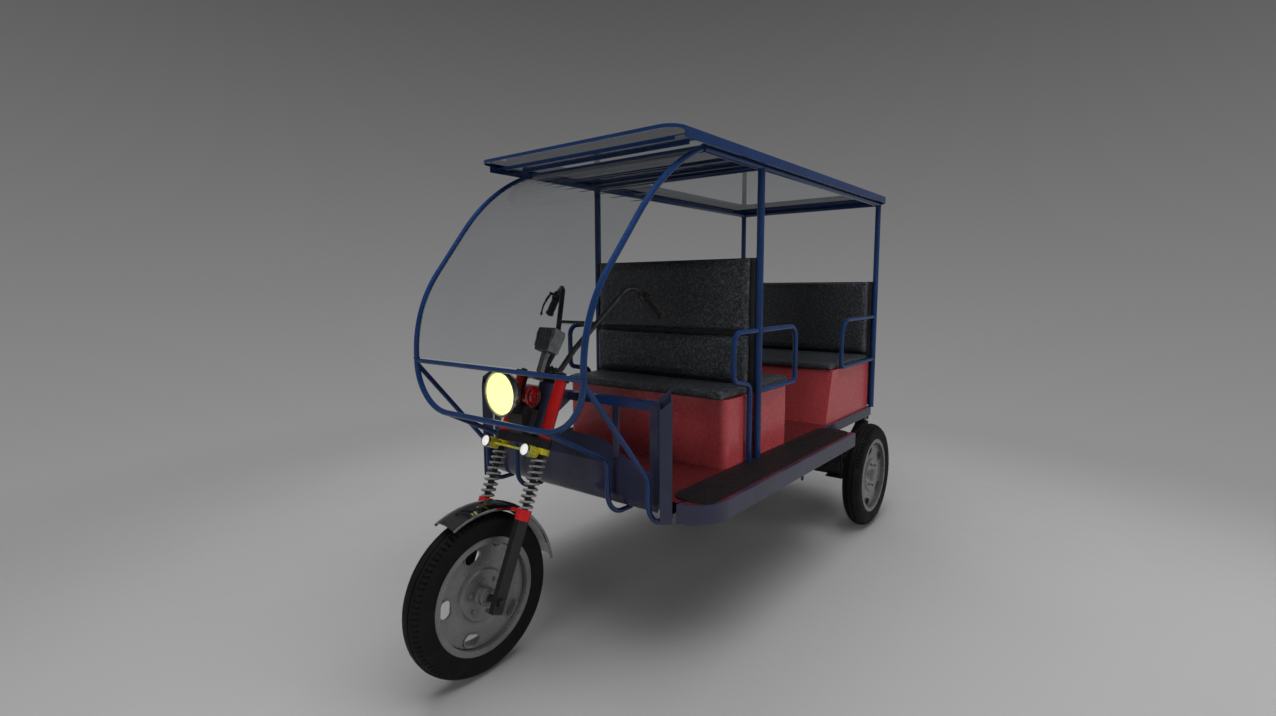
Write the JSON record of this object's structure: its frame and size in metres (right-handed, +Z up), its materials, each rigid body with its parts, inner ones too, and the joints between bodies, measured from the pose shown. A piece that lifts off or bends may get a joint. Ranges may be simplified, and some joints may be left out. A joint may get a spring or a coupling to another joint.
{
  "type": "electric rickshaw",
  "caption": "Three-wheeled passenger rickshaw with facing benches, open tube roof, clear windscreen, side steps and a raked sprung front fork with a handlebar.",
  "frame": {"origin": "centre of the bounding box at ground level", "axes": "+X forward, +Y to the vehicle's left, +Z up"},
  "size_m": [2.8659, 1.24, 1.7869],
  "materials": {
    "tyre": "matt",
    "wheel_grey": "satin",
    "tube_navy": "gloss",
    "panel_slate": "gloss",
    "box_red": "satin",
    "fork_red": "gloss",
    "fork_grey": "satin",
    "axle_black": "satin",
    "motor_grey": "satin",
    "vinyl": "satin",
    "board": "matt",
    "mat": "matt",
    "battery": "matt",
    "pane": "clear",
    "chrome": "polished",
    "amber": "gloss",
    "pod": "satin",
    "bar_metal": "satin",
    "lamp_shell": "gloss",
    "lens": "clear",
    "white_lens": "clear",
    "grip": "matt",
    "yoke_black": "satin"
  },
  "bodies": {
    "chassis": {"floor_pan": "panel_slate", "chassis_rails": "panel_slate", "leg_shield": "panel_slate", "steering_neck": "panel_slate", "floor_deck": "box_red", "front_seat_box": "box_red", "rear_seat_box": "box_red", "floor_mats": "mat", "shield_bar": "tube_navy", "roof_frame": "tube_navy", "roof_rim": "tube_navy", "roof_slats": "tube_navy", "windscreen_arcs": "tube_navy", "front_loop": "tube_navy", "shield_braces": "tube_navy", "armrests": "tube_navy", "windscreen_pane": "pane", "battery_pack": "battery", "seat_boards": "board", "driver_pad": "vinyl", "middle_pad": "vinyl", "rear_pad": "vinyl", "driver_back": "vinyl", "upper_back": "vinyl", "middle_back": "vinyl", "rear_back": "vinyl", "rear_axle": "axle_black", "leaf_springs": "axle_black", "drive_motor": "motor_grey"},
    "steering": {"fork_yokes": "yoke_black", "fork_tubes": "fork_red", "fork_legs": "fork_grey", "fork_springs": "chrome", "front_mudguard": "chrome", "headlight": "lamp_shell", "headlight_lens": "lens", "horn": "fork_red", "indicators": "amber", "indicator_lenses": "white_lens", "handlebar": "bar_metal", "hand_controls": "grip", "instrument_pod": "pod"},
    "front_wheel": {"front_tyre": "tyre", "front_rim": "wheel_grey"},
    "rear_wheel_left": {"rear_tyre_left": "tyre", "rear_rim_left": "wheel_grey"},
    "rear_wheel_right": {"rear_tyre_right": "tyre", "rear_rim_right": "wheel_grey"}
  },
  "joints": [
    {"name": "steering", "type": "hinge", "parent": "chassis", "child": "steering", "pos_m": [0.88597, 0, 0.8066], "axis": [-0.4003, 0, 0.9164], "range_deg": [-40, 40]},
    {"name": "front_wheel_spin", "type": "hinge", "parent": "steering", "child": "front_wheel", "pos_m": [1.161, 0, 0.272], "axis": [0, 1, 0], "continuous": true},
    {"name": "rear_wheel_left_spin", "type": "hinge", "parent": "chassis", "child": "rear_wheel_left", "pos_m": [-0.955, 0.573, 0.272], "axis": [0, 1, 0], "continuous": true},
    {"name": "rear_wheel_right_spin", "type": "hinge", "parent": "chassis", "child": "rear_wheel_right", "pos_m": [-0.955, -0.573, 0.272], "axis": [0, 1, 0], "continuous": true}
  ]
}
